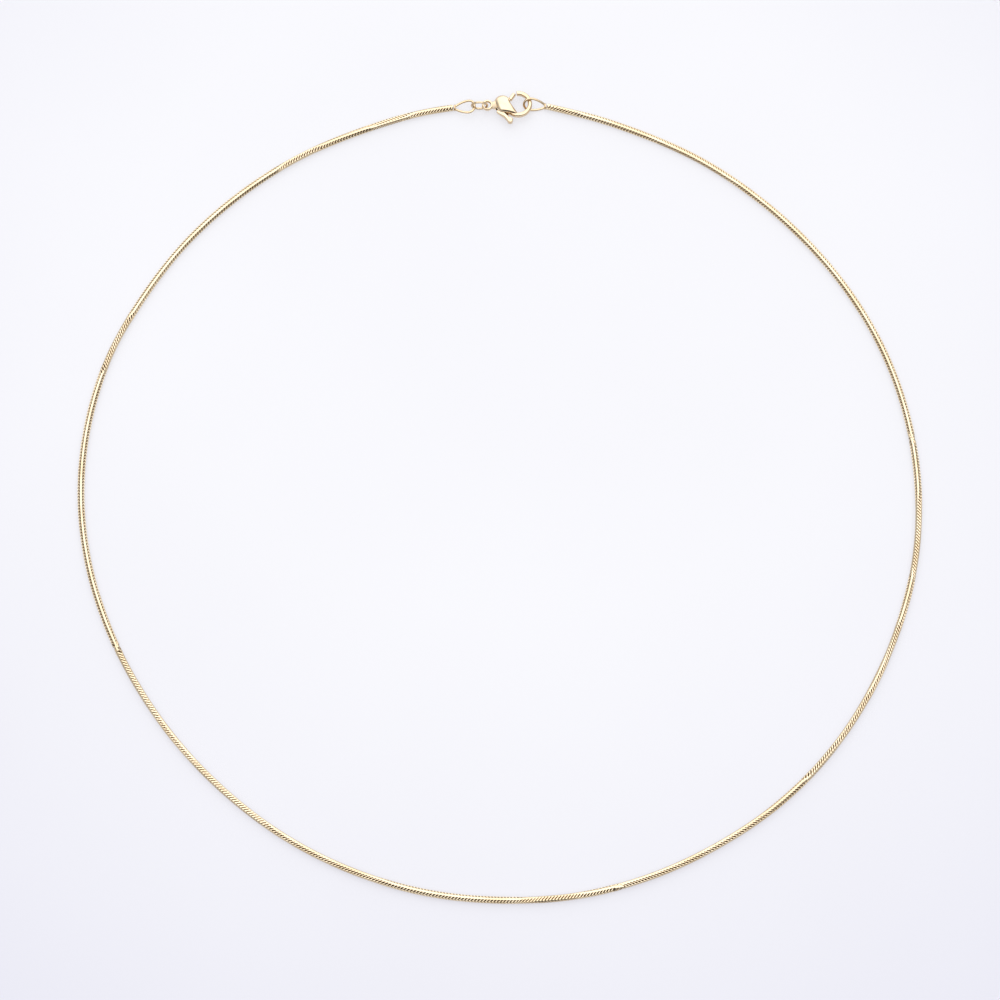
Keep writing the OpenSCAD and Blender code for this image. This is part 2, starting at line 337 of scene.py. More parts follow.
def polishing_lines():
    """Hairlines of the polishing wheel: noise drawn out along two crossed directions, kept where it peaks."""
    tree, given, told = new_group(
        "polishing_lines",
        [("Vector", "Vector", None), ("Fineness", "Float", 9000.0)],
        [("Height", "Float")])
    ways = (((0.3, 0.2, 0.5), (0.04, 1, 1)), ((1.1, 0.7, -0.6), (1, 0.05, 1)))     # (turn, stretch)
    kept = []
    for k, (turn, stretch) in enumerate(ways):
        laid = node(tree, "ShaderNodeMapping", -900, 250 - 350 * k)
        laid.inputs["Rotation"].default_value = turn
        laid.inputs["Scale"].default_value = stretch
        link(tree, given.outputs["Vector"], laid.inputs["Vector"])
        streak = node(tree, "ShaderNodeTexNoise", -650, 250 - 350 * k)
        streak.inputs["Detail"].default_value = 2.0
        link(tree, laid.outputs["Vector"], streak.inputs["Vector"])
        link(tree, given.outputs["Fineness"], streak.inputs["Scale"])
        kept.append(smooth_range(tree, streak.outputs["Fac"], 0.55, 0.75, 1.0, 0.0, -400, 250 - 350 * k))
    link(tree, sums(tree, "MINIMUM", kept[0], kept[1], -100, 0), told.inputs["Height"])
    return tree


WEAR = handling_wear()
LINES = polishing_lines()


def gold(name, bright, deep, patches, smoothest, dullest, lines, groove_shade=None):
    """Plated gold, polished and then worn: its tone and gloss change with handling, and hairlines cross it.

    Its tone goes from bright to deep where it is rubbed dull. With a groove shade colour, the mesh's groove
    value
    takes the tone to that colour: painted shade down in the grooves between the chain's bands.
    """
    metal = bpy.data.materials.new(name)
    metal.use_nodes = True
    tree = metal.node_tree
    bsdf = tree.nodes["Principled BSDF"]
    bsdf.inputs["Metallic"].default_value = 1.0
    place = node(tree, "ShaderNodeTexCoord", -1300, 0)
    wear = node(tree, "ShaderNodeGroup", -1000, 100, node_tree=WEAR)
    wear.inputs["Patches"].default_value = patches
    wear.inputs["Bright"].default_value = smoothest
    wear.inputs["Dull"].default_value = dullest
    link(tree, place.outputs["Object"], wear.inputs["Vector"])
    tone = node(tree, "ShaderNodeMix", -700, 250, data_type="RGBA")
    tone.inputs["A"].default_value = (*bright, 1.0)
    tone.inputs["B"].default_value = (*deep, 1.0)
    link(tree, wear.outputs["Rubbed"], tone.inputs["Factor"])
    colour, rough = tone.outputs["Result"], wear.outputs["Roughness"]
    # painted shade: the tone is taken towards the groove shade colour down in the grooves, which are also
    # rougher
    if groove_shade:
        down = node(tree, "ShaderNodeAttribute", -1000, -250, attribute_name="groove_shade")
        sunk = smooth_range(tree, down.outputs["Fac"], 0.3, 1.0, 0.0, 1.0, -750, -250)
        groove_shading = node(tree, "ShaderNodeMix", -450, 200, data_type="RGBA")
        groove_shading.inputs["B"].default_value = (*groove_shade, 1.0)
        link(tree, sunk, groove_shading.inputs["Factor"])
        link(tree, colour, groove_shading.inputs["A"])
        colour = groove_shading.outputs["Result"]
        rough = sums(tree, "ADD", rough, sums(tree, "MULTIPLY", sunk, GROOVE_DULL, -500, -300), -300, -100)
    link(tree, colour, bsdf.inputs["Base Color"])
    link(tree, rough, bsdf.inputs["Roughness"])
    hair = node(tree, "ShaderNodeGroup", -1000, -500, node_tree=LINES)
    hair.inputs["Fineness"].default_value = lines
    link(tree, place.outputs["Object"], hair.inputs["Vector"])
    bump = node(tree, "ShaderNodeBump", -250, -450)
    bump.inputs["Strength"].default_value = LINE_STRENGTH
    bump.inputs["Distance"].default_value = LINE_DEPTH
    link(tree, hair.outputs["Height"], bump.inputs["Height"])
    link(tree, bump.outputs["Normal"], bsdf.inputs["Normal"])
    return metal


# ---------------------------------------------------------------- the chain

# how the ring lies: its radius every ten degrees as a share of the mean, from the right round
LAY = np.array([
    1.0018, 0.9991, 0.9959, 0.9914, 0.9875, 0.9871, 0.9906, 0.9938, 1.004, 1.009, 1.0075, 1.0008,
    1.0013, 1.0016, 1.0036, 1.0051, 1.0118, 1.0121, 1.0093, 1.0026, 0.994, 0.9871, 0.9846, 0.9856,
    0.9903, 0.9947, 0.999, 1.0013, 1.0065, 1.0072, 1.0071, 1.009, 1.0083, 1.0051, 1.0032, 1.0039])
RING_R = 450 * MM / (2 * math.pi)
MIDDLE = np.array([-0.266509, 1.139562]) * MM
FIRST_ANGLE = 83.542279         # where the chain starts, by the clasp's right, and ends, in degrees
LAST_ANGLE = -263.214371
CHAIN_R = 0.6 * MM
BEND_FROM = 78.0                # from this angle its right end bends out, by END_BEND for each degree squared
END_BEND = 0.00017
LINE_STEPS = 20001


def ring_point(angle):
    """The chain's middle line at polar angles in degrees: Catmull-Rom through the lay table.

    The right end bends out towards its loop by the square of the angle past BEND_FROM.
    """
    step = angle / 10
    at = np.floor(step).astype(int)
    t = step - at
    a, b, c, d = (LAY[(at + k) % len(LAY)] for k in (-1, 0, 1, 2))
    share = b + 0.5 * t * (c - a + t * (2 * a - 5 * b + 4 * c - d + t * (3 * (b - c) + d - a)))
    share += END_BEND * np.maximum(0, angle - BEND_FROM) ** 2
    turn = np.radians(angle)
    return (RING_R * share)[..., None] * np.stack([np.cos(turn), np.sin(turn)], -1) - MIDDLE


class MiddleLine:
    """The chain's middle line by length along it, clockwise from the clasp's right."""

    def __init__(self):
        """Fine steps of equal angle, the length up to each, and the unit direction there."""
        angles = np.linspace(FIRST_ANGLE, LAST_ANGLE, LINE_STEPS)
        self.points = ring_point(angles)
        steps = np.linalg.norm(np.diff(self.points, axis=0), axis=1)
        self.along = np.concatenate([[0.0], np.cumsum(steps)])
        self.length = self.along[-1]
        way = np.gradient(self.points, self.along, axis=0)
        self.way = way / np.linalg.norm(way, axis=1, keepdims=True)

    def at(self, s):
        """(place, forward) in the plane at lengths s, run on straight past both ends."""
        inside = np.clip(s, 0, self.length)
        place = np.stack([np.interp(inside, self.along, self.points[:, k]) for k in (0, 1)], -1)
        way = np.stack([np.interp(inside, self.along, self.way[:, k]) for k in (0, 1)], -1)
        way /= np.linalg.norm(way, axis=-1, keepdims=True)
        return place + (s - inside)[..., None] * way, way


LINKS = 807
TURNS = np.radians([0, 23, 30, 45, 60, 67])     # where a link's points are, from one face to the next
WAVE = 0.3 * MM
SETTLE = 2.0 * MM               # from its ends the chain takes this long to get its full wave
CORNER_FROM = 0.73              # a corner starts where the sine of twice the turn passes this
CORNER_SPAN = 0.12              # and is whole this much further on
SHARP_LINKS = 33                # degrees: an edge that bends by more is sharp, here and in the castings
SHARP_CASTING = 50

# the arch across a link, from its crest out to its edge: places in pitches, and depths in millimetres
FACE_PLACE, CORNER_PLACE = np.array([0.0, 0.27, 0.475]), np.array([0.0, 0.3, 0.5])
FACE_DEPTH, CORNER_DEPTH = np.array([0.0, 0.05, 0.19]), np.array([0.0, 0.0, 0.003])
CORNER_UNSHADED = 0.95             # the share of the grooves' painted shade that is left out at a corner

LINK_R = 0.598 * MM             # a link's radius at its corners
LINK_FLAT = 0.022 * MM          # and how much less it is in the middle of a face

# the chain's roll, as (place, degrees): the first place is the chain's right end and the last its left end
ROLL = np.array([
    (44, -30), (70, -26), (84, -50), (150, -54), (172, -62), (235, -62), (256, -52), (572, -50), (588, 38),
    (634, 38), (654, 4), (714, 2), (726, 38), (766, 34), (782, 6), (804, 6), (818, 26), (842, 26), (858, 6),
    (905, 6), (915, -8), (944, -10), (958, -58), (996, -60), (1008, -72), (1156, -72), (1172, -146),
    (1194, -150), (1206, -172), (1236, -185), (1250, -165), (1264, -143), (1376, -145), (1398, -162),
    (1506, -162), (1520, -180), (1600, -180), (1616, -166), (1658, -166), (1672, -182), (1736, -182),
    (1750, -318), (1896, -320), (1960, -318), (2032, -320), (2044, -370), (2090, -370), (2104, -412),
    (2308, -414), (2326, -378), (2354, -376), (2368, -402), (2410, -408), (2426, -442), (2450, -440),
    (2464, -394), (2504, -396)], dtype=float)


def chain_roll(s, length):
    """The roll in radians at length s: between two rows it goes by 3 t squared less 2 t cubed."""
    first, last = ROLL[[0, -1], 0]
    at = first + s / length * (last - first)
    k = np.clip(np.searchsorted(ROLL[:, 0], at) - 1, 0, len(ROLL) - 2)
    t = np.clip((at - ROLL[k, 0]) / (ROLL[k + 1, 0] - ROLL[k, 0]), 0, 1)
    t = t * t * (3 - 2 * t)
    return np.radians(ROLL[k, 1] * (1 - t) + ROLL[k + 1, 1] * t)


def square_radius(turn):
    """Radius of a well rounded square: a circle drawn in at its four faces by the square of cos(2 turn)."""
    return LINK_R - LINK_FLAT * np.cos(2 * turn) ** 2


def snake_chain():
    """All the links of the chain as one mesh.

    A link is a closed band round the middle line. At the turn t round it, it stands forward by WAVE times
    the sine of 2 t, so that its faces show slanting bars, and its radius is that of a rounded square.
    Across its width the band is an arch of five points, which goes down at both edges on the faces and is
    nearly flat at the corners, where the links run together.
    """
    line = MiddleLine()
    pitch = line.length / LINKS
    turn = np.concatenate([TURNS + quarter * math.pi / 2 for quarter in range(4)])
    # 0 on a face, 1 at a corner
    corner = np.clip((np.abs(np.sin(2 * turn)) - CORNER_FROM) / CORNER_SPAN, 0, 1)[:, None]
    # the five points of the arch: how far each is from the crest, and on which side
    rank = np.array([2, 1, 0, 1, 2])
    hand = np.array([-1, -1, 0, 1, 1])
    place = ((1 - corner) * FACE_PLACE[rank] + corner * CORNER_PLACE[rank]) * hand
    depth = ((1 - corner) * FACE_DEPTH[rank] + corner * CORNER_DEPTH[rank]) * MM
    radius = square_radius(turn)[:, None] - depth                       # (around, 5)
    centre = (np.arange(LINKS) + 0.5) * pitch
    wave = WAVE * np.clip(np.minimum(centre, line.length - centre) / SETTLE, 0, 1)
    # from here on all arrays are (links, around, 5)
    s = centre[:, None, None] + wave[:, None, None] * np.sin(2 * turn)[:, None] + place * pitch
    spot, way = line.at(s)
    out = np.stack([-way[..., 1], way[..., 0]], -1)
    angle = turn[None, :, None] + chain_roll(centre, line.length)[:, None, None]
    side = radius[None] * np.sin(angle)
    up = radius[None] * np.cos(angle) + CHAIN_R
    points = np.concatenate([spot + side[..., None] * out, up[..., None]], -1)
    n, m, w = points.shape[:3]
    index = np.arange(n * m * w).reshape(n, m, w)
    following = np.roll(index, -1, axis=1)
    right, far = np.roll(index, -1, axis=2), np.roll(following, -1, axis=2)
    faces = np.stack([index, right, far, following], -1).reshape(-1, 4)
    chain = mesh_object("snake_chain", points.reshape(-1, 3), faces)
    chain.data.set_sharp_from_angle(angle=math.radians(SHARP_LINKS))
    # painted shade in the grooves: how far down in a groove each point is, all the way at the edges of a
    # face, hardly at a corner
    groove_shade_share = np.broadcast_to(rank / 2.0 * (1 - CORNER_UNSHADED * corner), (n, m, w)).astype(np.float32).reshape(-1)
    groove_shade = chain.data.attributes.new("groove_shade", "FLOAT", "POINT")
    groove_shade.data.foreach_set("value", np.ascontiguousarray(groove_shade_share))
    return chain


# ---------------------------------------------------------------- skins for wires and castings

def skin(rings, closed=False):
    """The faces of a tube of rings, given as an array (rings, around, 3). Open ends are closed with one face.

    Where the tube encloses a negative volume, its faces are turned to point outwards.
    """
    n, m = rings.shape[:2]
    index = np.arange(n * m).reshape(n, m)
    index = np.concatenate([index, index[:1]]) if closed else index
    a, b = index[:-1], index[1:]
    c, d = np.roll(a, -1, 1), np.roll(b, -1, 1)
    quads = np.stack([a, c, d, b], -1).reshape(-1, 4)
    points = rings.reshape(-1, 3)
    corner = points[quads] - points.mean(0)
    volume = np.einsum("ij,ij->", corner[:, 0], np.cross(corner[:, 1], corner[:, 2]))
    volume += np.einsum("ij,ij->", corner[:, 0], np.cross(corner[:, 2], corner[:, 3]))
    faces = quads.tolist() + ([] if closed else [index[0][::-1].tolist(), index[-1].tolist()])
    return points, [face[::-1] for face in faces] if volume < 0 else faces


def joined(parts):
    """Several (points, faces) as one."""
    starts = np.cumsum([0] + [len(points) for points, _ in parts])
    faces = [[int(k + start) for k in face] for start, (_, some) in zip(starts, parts) for face in some]
    return np.concatenate([points for points, _ in parts]), faces


def rounded_section(half_w, half_h, power, around=32):
    """A superellipse |x/w|^p + |z/h|^p = 1 as (around, 2) points, spaced by its angle."""
    turn = np.arange(around) * 2 * math.pi / around
    x, z = np.cos(turn), np.sin(turn)
    size = (np.abs(x) ** power + np.abs(z) ** power) ** (-1 / power)
    return np.stack([half_w * size * x, half_h * size * z], -1)


def sweep(path, section, size=1.0, up=UP, closed=False):
    """A section carried along a path, scaled by size at each point. Its second axis leans towards up."""
    way = np.roll(path, -1, 0) - np.roll(path, 1, 0) if closed else np.gradient(path, axis=0)
    way /= np.linalg.norm(way, axis=1, keepdims=True)
    side = np.cross(way, up)
    side /= np.linalg.norm(side, axis=1, keepdims=True)
    lift = np.cross(side, way)
    across = (np.ones(len(path)) * size)[:, None, None] * np.asarray(section)
    return path[:, None] + across[..., :1] * side[:, None] + across[..., 1:] * lift[:, None]


def nearest_on(spine, points):
    """The point of a line of straight pieces that is nearest to each of the points."""
    start, step = spine[:-1], np.diff(spine, axis=0)
    share = np.einsum("nsk,sk->ns", points[:, None] - start, step) / np.sum(step * step, axis=1)
    spots = start + np.clip(share, 0, 1)[..., None] * step
    pick = np.argmin(np.linalg.norm(points[:, None] - spots, axis=-1), axis=1)
    return spots[np.arange(len(points)), pick]


def slab(outline, half_h, edge, spine=None, crown=0.0, power=2.4):
    """A cushion over an outline (around, 2): its rim is a quarter superellipse of width edge, twice over.

    Rings run from the spine of the underside out over the rim and in to the spine of the top. half_h may
    change round the outline, and crown lifts the spine further. Without a spine it is the middle point.
    """
    way = np.roll(outline, -1, 0) - np.roll(outline, 1, 0)
    out = np.stack([way[:, 1], -way[:, 0]], -1) / np.linalg.norm(way, axis=1, keepdims=True)
    area = np.sum(outline[:, 0] * np.roll(outline[:, 1], -1) - outline[:, 1] * np.roll(outline[:, 0], -1))
    out *= np.sign(area)
    turn = np.linspace(0, math.pi / 2, 9)
    inset = edge * (1 - np.sin(turn) ** (2 / power))
    rise = np.cos(turn) ** (2 / power)
    rim = outline[None] - inset[:, None, None] * out[None]            # from the top's rim out to the wall
    middle = outline.mean(0) if spine is None else nearest_on(spine, rim[0])
    share, lift = np.array([0.03, 0.35, 0.7]), np.array([1.0, 0.85, 0.45])
    flat = middle + share[:, None, None] * (rim[0] - middle)
    over = np.concatenate([flat, rim])
    height = np.concatenate([np.ones(len(share)), rise])[:, None] * np.broadcast_to(half_h, len(outline))
    height = height + np.concatenate([crown * lift, np.zeros(len(turn))])[:, None]
    top = np.concatenate([over, height[..., None]], -1)
    under = top * np.array([1, 1, -1])
    return np.concatenate([under[:-1], top[::-1]])


def softened(corners, soft, count=96, fine=1200):
    """A closed outline walked in fine even steps and averaged over a window of length soft."""
    ring = np.concatenate([corners, corners[:1]])
    along = np.concatenate([[0], np.cumsum(np.linalg.norm(np.diff(ring, axis=0), axis=1))])
    steps = np.linspace(0, along[-1], fine, endpoint=False)
    walk = np.stack([np.interp(steps, along, ring[:, k]) for k in (0, 1)], -1)
    window = max(1, int(round(soft / along[-1] * fine / 2)))
    total = sum(np.roll(walk, k, axis=0) for k in range(-window, window + 1)) / (2 * window + 1)
    return total[np.linspace(0, fine, count, endpoint=False).astype(int)]


def turned(points, x=0.0, y=0.0, z=0.0):
    """Points turned about X, then Y, then Z, in degrees."""
    for axis, angle in enumerate((x, y, z)):
        c, s = math.cos(math.radians(angle)), math.sin(math.radians(angle))
        a, b = [(1, 2), (2, 0), (0, 1)][axis]
        first, second = points[..., a], points[..., b]
        points = points.copy()
        points[..., a], points[..., b] = c * first - s * second, s * first + c * second
    return points


# ---------------------------------------------------------------- the clasp and its loops

# where the middle of the clasp's eye is in the model; all that follows is in millimetres from there
CLASP_AT = np.array([-2.17594, 70.80193, 0.0])
MID = 1.2                       # half the clasp's height

# the swelling: two round shoulders, the tip, the middle of its rays, and the ball that its top is part of
LOBE_AT, LOBE_LOW, LOBE_R = np.array([2.62, 0.5]), np.array([2.85, -0.2]), 1.4
LOBE_TIP = np.array([5.8, -2.15])
LOBE_MIDDLE = np.array([2.85, 0.05])
UPPER_SIDE = (0.1, 0.4)         # its upper straight side touches a circle this much short of LOBE_AT
LOBE_LEAST = 0.12               # its least half height
LOBE_CROWD = 0.085              # how much closer its rays stand near the tip
DOME_AT, DOME_R = (3.5, -0.35), 4.8
PIN_AT = np.array([2.75, -0.05])

# the neck: where it starts and ends along X, where its section starts to grow and over how much, its half
# width and half height there, and how much both grow
NECK_FROM, NECK_TO = 0.66, 2.0
NECK_GROWS_FROM, NECK_GROWS_OVER = 0.7, 1.1
NECK_SMALL, NECK_MORE = np.array([0.6, 0.3]), np.array([0.45, 0.42])

# the bars: half width, half height and the power of the section
HOOK_BAR, EYE_BAR, GATE_BAR = (0.4, 0.55, 2.7), (0.225, 0.4, 2.4), (0.35, 0.55, 2.8)
HOOK_AT, HOOK_R = np.array([5.48, 0.19]), 2.08
HOOK_FROM, HOOK_TO = -150.0, 98.5       # degrees
HOOK_TIP = [(2.4, 0.99), (1.1, 0.95), (0.3, 0.85), (0.0, 0.7)]     # (degrees before its end, size)
EYE_R = 0.78
GATE_FROM, GATE_TO = np.array([4.02, 1.04]), np.array([4.8, 2.15])

# the outline of the thumb tab, the line that its crown runs along, and the outline of the web to the gate
TAB = np.array([(2.3, -0.45), (1.68, -1.1), (1.6, -1.42), (2.4, -2.0), (2.95, -2.35), (3.4, -2.9),
                (3.7, -3.4), (4.1, -3.52), (4.47, -3.35), (4.6, -2.7), (2.75, -1.6), (3.2, -0.35)])
TAB_SPINE = np.array([(2.35, -1.15), (2.75, -1.35), (3.35, -2.0), (3.85, -2.65), (4.05, -3.1)])
WEB = np.array([(2.62, 0.42), (3.95, 1.55), (4.4, 1.24), (3.2, -0.2)])

# the lever's half heights and the widths of its rounded rims. The tab gets TAB_MORE thicker from TAB_OUT off
# the pin on, over TAB_OVER
HUB_R, HUB_HALF, HUB_EDGE = 0.62, 0.39, 0.08
WEB_HALF, WEB_EDGE = 0.395, 0.1
TAB_HALF, TAB_EDGE, TAB_CROWN = 0.4, 0.17, 0.06
TAB_MORE, TAB_OUT, TAB_OVER = 0.15, 1.85, 0.5

# the lever's slot: its half height, the disc about the pin, and the reach and the angles of the two wedges
SLOT_HALF, SLOT_R, SLOT_REACH = 0.46, 0.85, 3.4
GATE_SLOT = np.radians([-12, 40, 77])
TAB_SLOT = np.radians([-57, -80, -120, -161])
GATE_SHARE = 0.62               # the gate's wedge is this share of the reach, to stop short of the hook

# the jump ring: its middle, its radius and the radius of its wire
JUMP_AT, JUMP_R, JUMP_WIRE = np.array([-1.4001, -0.2, 1.59]), 1.35, 0.2

# a loop: its round end, the bow of its legs and its wire; then where both caps are, and the loops' lengths
LOOP_R, LEG_BOW, LOOP_WIRE = 1.13, 5.0, 0.21
CAP_R, CAP_FRONT = 0.582, 0.13
LEFT_TIP, RIGHT_TIP = np.array([-5.7690, -0.2122, 0.6]), np.array([10.2439, 0.0522, 0.6])
LEFT_REACH, RIGHT_REACH = 2.45, 2.7

# in degrees: the right loop is first rolled about X, and each then leans about Y and turns about Z
RIGHT_ROLL = 50
LEFT_LEAN, LEFT_HEADING = -12.4204, 0.1954
RIGHT_LEAN, RIGHT_HEADING = 12.6015, -3.4979


def placed(part, lift=MID):
    """(points, faces) from millimetres about the clasp's eye to metres in the model's frame."""
    points, faces = part
    return (points + CLASP_AT + np.array([0, 0, lift])) * MM, faces


def circle(radius, count):
    """(count, 2) even points round the origin."""
    turn = np.arange(count) * 2 * math.pi / count
    return radius * np.stack([np.cos(turn), np.sin(turn)], -1)


def lobe():
    """The swelling: a teardrop pillow.

    Its reach from the middle along a ray is the furthest of two circles and of the two straight sides that
    run from them to the tip. At the share q of that reach, its height is the dome's times the square root
    of 1 less q to the seventh. The rays stand closer near the tip.
    """
    middle = LOBE_MIDDLE
    turn = np.arange(160) / 160
    first = math.atan2(LOBE_TIP[1] - middle[1], LOBE_TIP[0] - middle[0])
    turn = 2 * math.pi * (turn - LOBE_CROWD * np.sin(2 * math.pi * turn)) + first
    ray = np.stack([np.cos(turn), np.sin(turn)], -1)
    reach = np.zeros(len(turn))
    for centre in (LOBE_AT, LOBE_LOW):
        off = middle - centre
        b = ray @ off
        reach = np.maximum(reach, -b + np.sqrt(np.maximum(0, b * b - off @ off + LOBE_R ** 2)))
    for centre, hand in ((LOBE_AT - UPPER_SIDE, 1), (LOBE_LOW, -1)):
        away = np.linalg.norm(LOBE_TIP - centre)
        lean = math.atan2(*(LOBE_TIP - centre)[::-1]) + hand * math.acos(LOBE_R / away)
        shoulder = centre + LOBE_R * np.array([math.cos(lean), math.sin(lean)])
        start, edge = shoulder - middle, LOBE_TIP - shoulder
        cross = ray[:, 0] * edge[1] - ray[:, 1] * edge[0]
        cross = np.where(np.abs(cross) < 1e-9, 1e-9, cross)
        far = (start[0] * edge[1] - start[1] * edge[0]) / cross
        part = (start[0] * ray[:, 1] - start[1] * ray[:, 0]) / cross
        reach = np.where((far > 0) & (part >= 0) & (part <= 1), np.maximum(reach, far), reach)
    reach = (np.roll(reach, 1) + 2 * reach + np.roll(reach, -1)) / 4
    share = np.sin(np.linspace(0.02, math.pi / 2, 26))
    flat = middle + share[:, None, None] * reach[None, :, None] * ray[None]
    off = np.linalg.norm(flat - np.array(DOME_AT), axis=-1)
    dome = np.maximum(MID - DOME_R + np.sqrt(np.maximum(0, DOME_R ** 2 - off ** 2)), LOBE_LEAST)
    height = dome * np.sqrt(np.maximum(0, 1 - share[:, None] ** 7))
    top = np.concatenate([flat, height[..., None]], -1)
    return np.concatenate([(top * np.array([1, 1, -1]))[:-1], top[::-1]])


def neck():
    """Between the eye and the swelling: a rounded section that grows evenly along X."""
    x = np.linspace(NECK_FROM, NECK_TO, 16)
    grown = np.clip((x - NECK_GROWS_FROM) / NECK_GROWS_OVER, 0, 1)
    path = np.stack([x, 0 * x, 0 * x], -1)
    return sweep(path, rounded_section(1, 1, 2.3) * (NECK_SMALL + NECK_MORE * grown[:, None])[:, None])


def hook():
    """A rounded bar bent round HOOK_AT, with its free end rounded off."""
    before, shrunk = np.array(HOOK_TIP).T
    angle = np.radians(np.concatenate([np.linspace(HOOK_FROM, HOOK_TO - 4, 70), HOOK_TO - before]))
    path = np.stack([HOOK_AT[0] + HOOK_R * np.cos(angle), HOOK_AT[1] + HOOK_R * np.sin(angle), 0 * angle], -1)
    size = np.concatenate([np.ones(len(angle) - len(shrunk)), shrunk])
    return sweep(path, rounded_section(*HOOK_BAR), size)


def eye():
    """The ring that the jump ring hangs in, taller than it is thick."""
    path = np.pad(circle(EYE_R, 64), ((0, 0), (0, 1)))
    return sweep(path, rounded_section(*EYE_BAR, 24), closed=True)


def prism(outline, half_h):
    """An outline carried up from -half_h to half_h."""
    foot = np.column_stack([outline, np.full(len(outline), -half_h)])
    return np.stack([foot, foot * np.array([1, 1, -1])])


def slot_cutter():
    """The lever's room in the casting: a disc about the pin and two wedges, each a hair taller than the last.

    The hair keeps their flat ends apart, which a cut needs. The gate's wedge is drawn in towards the pin.
    """
    gate, tab = (np.concatenate([PIN_AT[None], PIN_AT + SLOT_REACH * np.stack([np.cos(a), np.sin(a)], -1)])
                 for a in (GATE_SLOT, TAB_SLOT))
    gate = gate * GATE_SHARE + PIN_AT * (1 - GATE_SHARE)
    return [mesh_object(f"slot_{k}", *placed(skin(prism(shape, SLOT_HALF + 0.001 * k))), smooth=False)
            for k, shape in enumerate([PIN_AT + circle(SLOT_R, 48), gate, tab])]


def cut(piece, cutters):
    """Takes the cutters out of the piece, and then removes them."""
    for cutter in cutters:
        taken = piece.modifiers.new("slot", "BOOLEAN")
        taken.operation, taken.solver, taken.object = "DIFFERENCE", "EXACT", cutter
    whole = piece.evaluated_get(bpy.context.evaluated_depsgraph_get())
    piece.data = bpy.data.meshes.new_from_object(whole)
    piece.modifiers.clear()
    for cutter in cutters:
        bpy.data.objects.remove(cutter)
    piece.data.polygons.foreach_set("use_smooth", np.full(len(piece.data.polygons), True))
    piece.data.set_sharp_from_angle(angle=math.radians(SHARP_CASTING))


def lever():
    """The hub on the pin, the web to the gate, the gate bar and the thumb tab.

    The tab gets thicker by its distance from the pin, once it is outside the slot.
    """
    hub = slab(PIN_AT + circle(HUB_R, 64), HUB_HALF, HUB_EDGE)
    web = slab(softened(WEB, 0.12), WEB_HALF, WEB_EDGE)
    tab_line = softened(TAB, 0.16, 120)
    away = np.linalg.norm(tab_line - PIN_AT, axis=1)
    tab_half = TAB_HALF + TAB_MORE * np.clip((away - TAB_OUT) / TAB_OVER, 0, 1)
    tab = slab(tab_line, tab_half, TAB_EDGE, TAB_SPINE, TAB_CROWN)
    # the gate bar, drawn in at both ends: places along it and its size there
    share = np.array([0, 0.02, 0.07, 0.15, 0.3, 0.5, 0.7, 0.85, 0.93, 0.98, 1])
    size = np.array([0.8, 0.9, 0.97, 1, 1, 1, 1, 1, 0.97, 0.9, 0.8])
    path = np.concatenate([GATE_FROM + share[:, None] * (GATE_TO - GATE_FROM), 0 * share[:, None]], -1)
    gate = sweep(path, rounded_section(*GATE_BAR), size)
    return joined([skin(part) for part in (hub, web, tab, gate)])


def wire_round(radius):
    """The round section of a wire."""
    return rounded_section(radius, radius, 2.0, 20)


def drop_path(reach):
    """The line of a loop's wire: a round end about the origin, and two legs that bow in to meet at reach.

    A leg is an arc of radius LEG_BOW that carries the round end on smoothly, so their middles are the
    difference of both radii apart. Its direction follows from the three sides of the triangle of the
    origin, the leg's middle and its far end.
    """
    end = np.array([reach, LOOP_WIRE + 0.015])
    far, span = np.linalg.norm(end), LEG_BOW - LOOP_R
    toward = math.atan2(end[1], end[0]) - math.acos((span ** 2 + far ** 2 - LEG_BOW ** 2) / (2 * span * far))
    middle = span * np.array([math.cos(toward), math.sin(toward)])
    start = math.atan2(*(end - middle)[::-1])
    last = toward + math.pi
    leg = np.linspace(start, last, 24, endpoint=False)
    leg = middle + LEG_BOW * np.stack([np.cos(leg), np.sin(leg)], -1)
    arc = np.linspace(last, 2 * math.pi - last, 64)
    arc = LOOP_R * np.stack([np.cos(arc), np.sin(arc)], -1)
    flat = np.concatenate([leg, arc, leg[::-1] * np.array([1, -1])])
    return np.concatenate([flat, np.zeros((len(flat), 1))], -1)


def cap():
    """The cap that the loop's legs are soldered into: turned along X, with a groove round it."""
    # its outline: places along X, and the radius there as a share of CAP_R
    x = np.array([0, 0, 0.03, 0.08, 0.13, 0.155, 0.18, 0.205, 0.26, 0.31, 0.34, 0.34]) - CAP_FRONT
    r = CAP_R * np.array([0.02, 0.84, 0.95, 1, 1, 0.93, 0.93, 1, 1, 0.95, 0.84, 0.02])
    turn = np.arange(40) * 2 * math.pi / 40
    around = np.stack([0 * turn, np.cos(turn), np.sin(turn)], -1)
    return x[:, None, None] * np.array([1, 0, 0]) + r[:, None, None] * around


def end_loop(path, roll, lean, heading, cap_heading, tip):
    """A loop's wire along a path that ends at the origin, and its cap, turned into place and set at tip."""
    path = turned(turned(path, roll), 0, lean, heading)
    up = turned(turned(UP[None], roll), 0, lean, heading)[0]
    wire = sweep(path, wire_round(LOOP_WIRE), up=up)
    return joined([placed(skin(part + tip), 0.0) for part in (wire, turned(cap(), roll, 0, cap_heading))])


def end_loops():
    """The left and the right end loop, each turned into its place as in the solids."""
    left = drop_path(LEFT_REACH) * np.array([-1, -1, 1]) + np.array([LEFT_REACH, 0, 0])
    right = drop_path(RIGHT_REACH) - np.array([RIGHT_REACH, 0, 0])
    return (end_loop(left, 0, LEFT_LEAN, LEFT_HEADING, 180 + LEFT_HEADING, LEFT_TIP),
            end_loop(right, RIGHT_ROLL, RIGHT_LEAN, RIGHT_HEADING, RIGHT_HEADING, RIGHT_TIP))


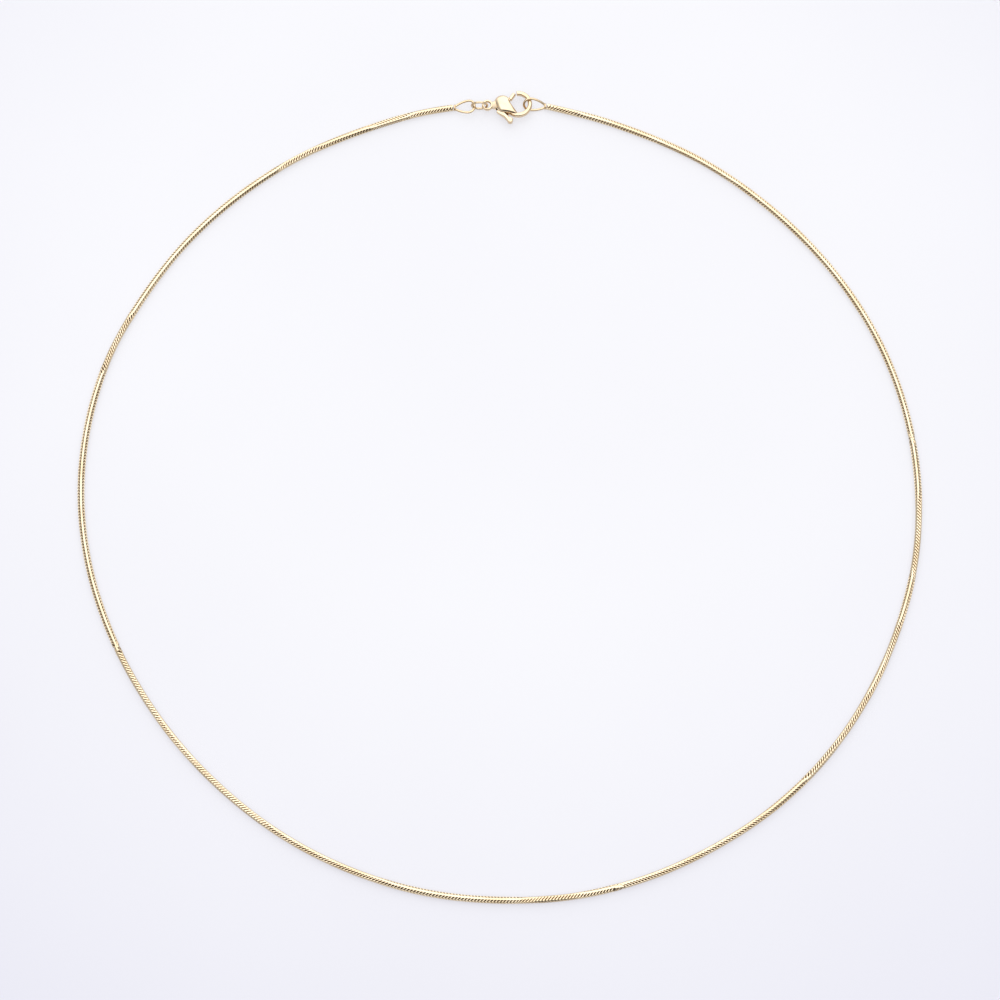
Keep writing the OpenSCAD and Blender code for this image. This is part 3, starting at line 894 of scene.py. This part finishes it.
def jump_ring():
    """A ring of wire that stands on edge in the XZ plane."""
    angle = np.arange(80) * 2 * math.pi / 80
    path = JUMP_AT + JUMP_R * np.stack([np.cos(angle), 0 * angle, np.sin(angle)], -1)
    rings = sweep(path, wire_round(JUMP_WIRE), up=np.array([0.0, 1.0, 0.0]), closed=True)
    return placed(skin(rings, closed=True), 0.0)


def casting():
    """The clasp's body: the swelling and the neck with the lever's slot, and the hook and the eye."""
    pieces = []
    for name, rings in (("swelling", lobe()), ("neck", neck())):
        made = mesh_object(name, *placed(skin(rings)))
        cut(made, slot_cutter())
        count = len(made.data.vertices)
        points = np.empty(count * 3)
        made.data.vertices.foreach_get("co", points)
        pieces.append((points.reshape(-1, 3), [list(face.vertices) for face in made.data.polygons]))
        bpy.data.objects.remove(made)
    pieces += [placed(skin(hook())), placed(skin(eye(), closed=True))]
    return mesh_object("clasp_casting", *joined(pieces))


# ---------------------------------------------------------------- assembly

def build():
    """Every piece in its metal, on its body and in place of its solid. The pin keeps its solid's own mesh."""
    metals = {name: gold(name, **look) for name, look in GOLDS.items()}
    chain = snake_chain()
    chain.data.materials.append(metals["chain_gold"])
    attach(chain, "necklace")
    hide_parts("chain")
    left, right = end_loops()
    pieces = {
        "end_loop_left": (mesh_object("left_end_loop", *left), "necklace", "wire_gold"),
        "end_loop_right": (mesh_object("right_end_loop", *right), "necklace", "wire_gold"),
        "jump_ring": (mesh_object("jump_ring_wire", *jump_ring()), "necklace", "wire_gold"),
        "clasp_body": (casting(), "necklace", "clasp_gold"),
        "clasp_lever": (mesh_object("thumb_lever", *placed(lever())), "clasp_lever", "clasp_gold")}
    for replaced, (piece, body, slot) in pieces.items():
        piece.data.materials.append(metals[slot])
        piece.data.set_sharp_from_angle(angle=math.radians(SHARP_CASTING))
        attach(piece, body)
        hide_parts(replaced)
    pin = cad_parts["clasp_pin"]
    if not pin.material_slots:
        pin.data.materials.append(metals["clasp_gold"])
    for one in pin.material_slots:
        one.material = metals["clasp_gold"]


bpy.context.scene.view_settings.view_transform = "Standard"
set_camera()
set_studio()
set_lamp()
set_table()
build()
keep_fine_links()
